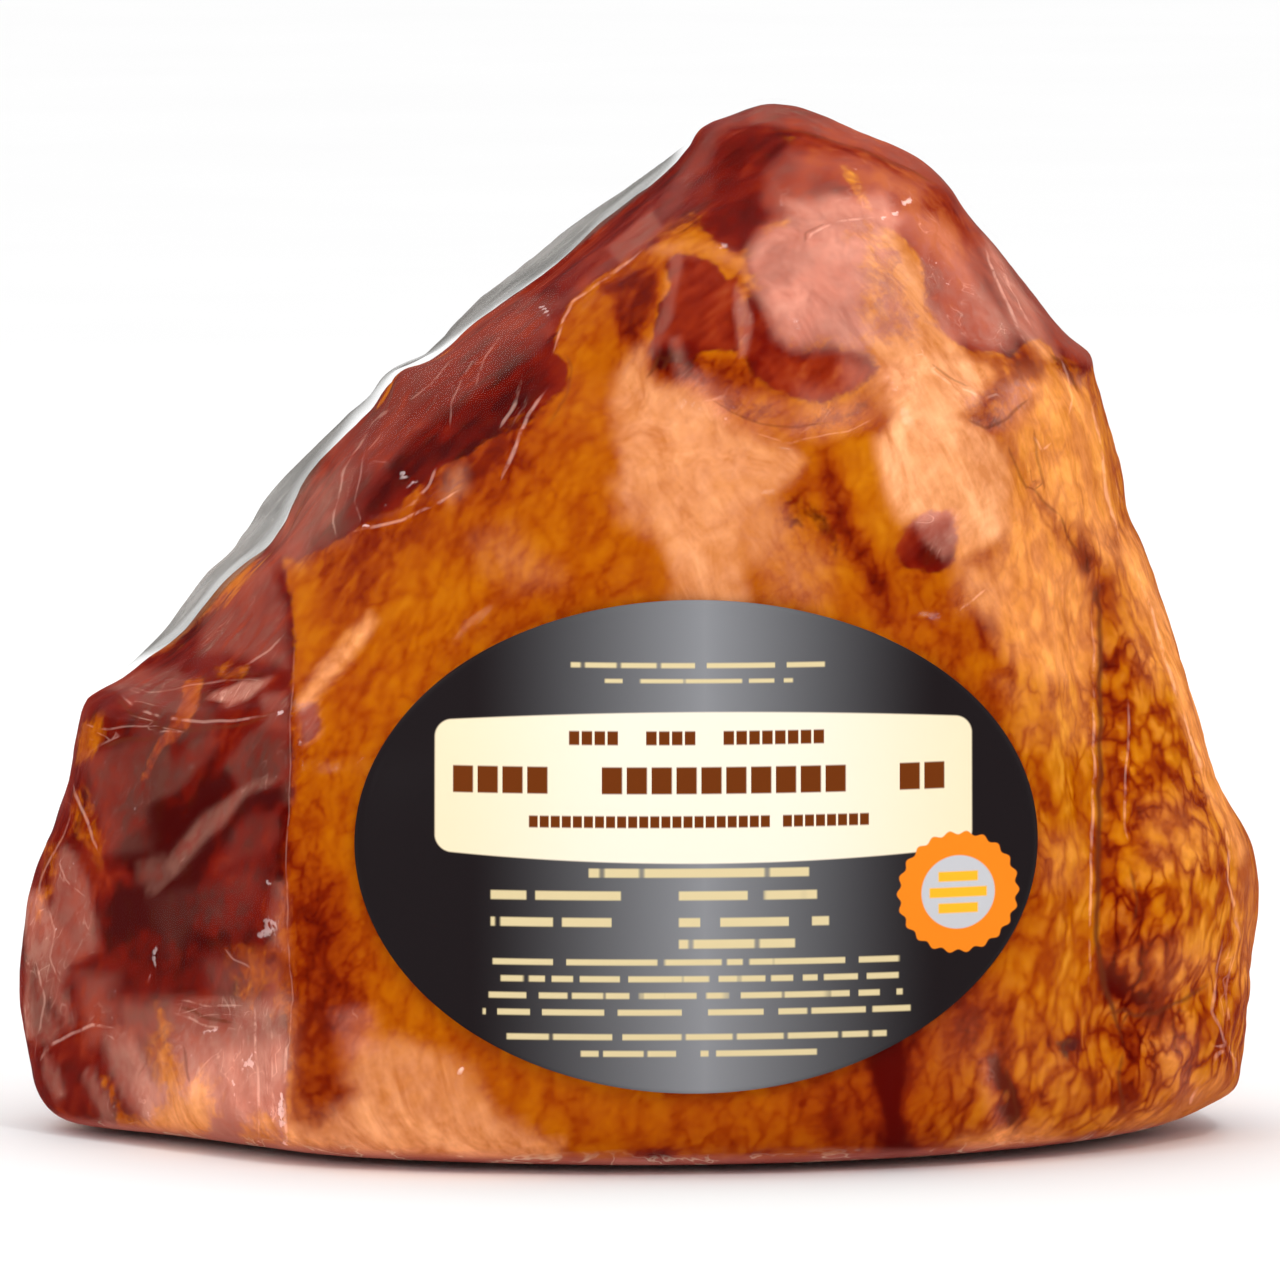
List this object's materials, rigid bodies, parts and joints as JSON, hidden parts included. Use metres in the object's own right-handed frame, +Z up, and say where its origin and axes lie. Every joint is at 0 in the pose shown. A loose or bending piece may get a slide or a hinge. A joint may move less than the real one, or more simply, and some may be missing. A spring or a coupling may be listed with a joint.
{
  "type": "bagged half ham",
  "caption": "Boneless smoked half ham in a tight clear vacuum bag, standing on its flat cut face, with an oval paper label on its front.",
  "frame": {"origin": "on the flat cut face, under the middle of the whole's box", "axes": "+Z up from the cut face to the tip, -Y out of the front that carries the label, +X to the right as the label is seen"},
  "size_m": [0.2048, 0.1387, 0.169],
  "materials": {
    "bagged_ham": "smoked orange-brown rind and dark red lean meat under tight clear glossy film",
    "label_paper": "coated label, near-black at its sides and silver grey in its middle, with a cream band"
  },
  "bodies": {
    "root": {"ham_in_bag": "bagged_ham", "label": "label_paper"}
  },
  "joints": []
}
